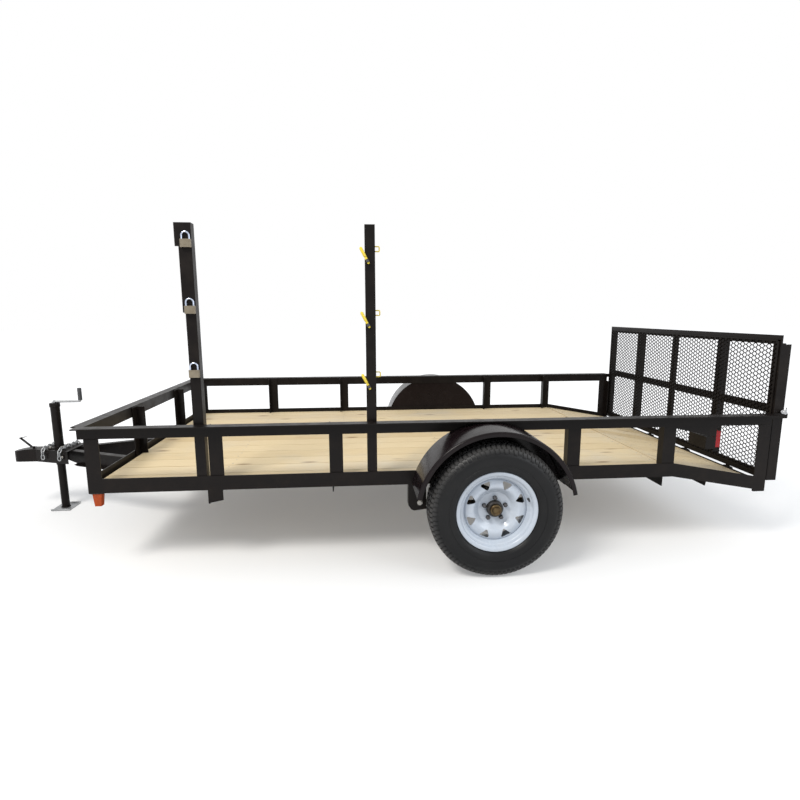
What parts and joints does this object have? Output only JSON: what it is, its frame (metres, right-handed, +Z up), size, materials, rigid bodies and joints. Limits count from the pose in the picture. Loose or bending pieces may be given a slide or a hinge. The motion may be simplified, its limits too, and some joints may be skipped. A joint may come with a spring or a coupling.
{
  "type": "utility trailer",
  "caption": "Open single-axle utility trailer with angle-iron rails, plank deck that dips at the tail, mesh ramp gate, A-frame tongue on a crank jack and tool-rack posts.",
  "frame": {"origin": "floor level, under the middle of the trailer's overall length and width", "axes": "+X to the coupler, +Y to the trailer's left side, +Z up"},
  "size_m": [4.703, 2.495, 1.755],
  "materials": {
    "frame_black": "black enamel over mill scale, slightly brown in the light",
    "fender_black": "glossier black enamel",
    "deck_pine": "pale treated pine planks",
    "wheel_white": "white enamel",
    "hub_black": "black enamel",
    "tyre_rubber": "black rubber",
    "zinc": "zinc plated steel",
    "grip_black": "black plastic",
    "spring_steel": "dark painted spring steel",
    "lens_red": "red lens",
    "lens_amber": "amber lens",
    "lamp_black": "black housing",
    "lock_brass": "brass",
    "lock_chrome": "polished steel",
    "hook_yellow": "yellow paint"
  },
  "bodies": {
    "chassis": {"axle_beam": "frame_black", "axle_clamps": "frame_black", "coupler": "frame_black", "coupler_latch": "frame_black", "deck_crossmembers": "frame_black", "deck_planks_main": "deck_pine", "deck_planks_tail": "deck_pine", "fender_left": "fender_black", "fender_right": "fender_black", "front_crossmember": "frame_black", "gate_hinge_lugs": "frame_black", "gate_latch_tabs": "frame_black", "gate_latches": "zinc", "jack_crank": "zinc", "jack_grip": "grip_black", "jack_tube": "frame_black", "leaf_springs": "spring_steel", "marker_brackets": "frame_black", "marker_lenses": "lens_amber", "padlock_bodies": "lock_brass", "padlock_shackles": "lock_chrome", "rack_hooks": "hook_yellow", "rack_post_front": "frame_black", "rack_post_rear": "frame_black", "rear_crossmember": "frame_black", "safety_chains": "zinc", "side_sill_left": "frame_black", "side_sill_right": "frame_black", "spring_hangers": "frame_black", "tail_lamp_brackets": "frame_black", "tail_lamp_housings": "lamp_black", "tail_lamp_lenses": "lens_red", "tongue_arm_left": "frame_black", "tongue_arm_right": "frame_black", "tongue_crossbar": "frame_black", "top_rail_front": "frame_black", "top_rail_left": "frame_black", "top_rail_right": "frame_black", "uprights_front": "frame_black", "uprights_left": "frame_black", "uprights_right": "frame_black"},
    "wheel_left": {"hub_left": "hub_black", "rim_left": "wheel_white", "tyre_left": "tyre_rubber"},
    "wheel_right": {"hub_right": "hub_black", "rim_right": "wheel_white", "tyre_right": "tyre_rubber"},
    "gate": {"gate_frame": "frame_black", "gate_hinge_knuckles": "frame_black", "gate_mesh_falling": "frame_black", "gate_mesh_rising": "frame_black"},
    "jack_foot_leg": {"jack_leg": "zinc"}
  },
  "joints": [
    {"name": "wheel_left_spin", "type": "hinge", "parent": "chassis", "child": "wheel_left", "pos_m": [-0.6515, 1.145, 0.344], "axis": [0, 1, 0], "continuous": true},
    {"name": "wheel_right_spin", "type": "hinge", "parent": "chassis", "child": "wheel_right", "pos_m": [-0.6515, -1.145, 0.344], "axis": [0, 1, 0], "continuous": true},
    {"name": "gate_hinge", "type": "hinge", "parent": "chassis", "child": "gate", "pos_m": [-2.2825, 0, 0.36], "axis": [0, -1, 0], "range_deg": [0, 112]},
    {"name": "jack_leg_slide", "type": "slide", "parent": "chassis", "child": "jack_foot_leg", "axis": [0, 0, 1], "range_m": [0, 0.25]}
  ]
}
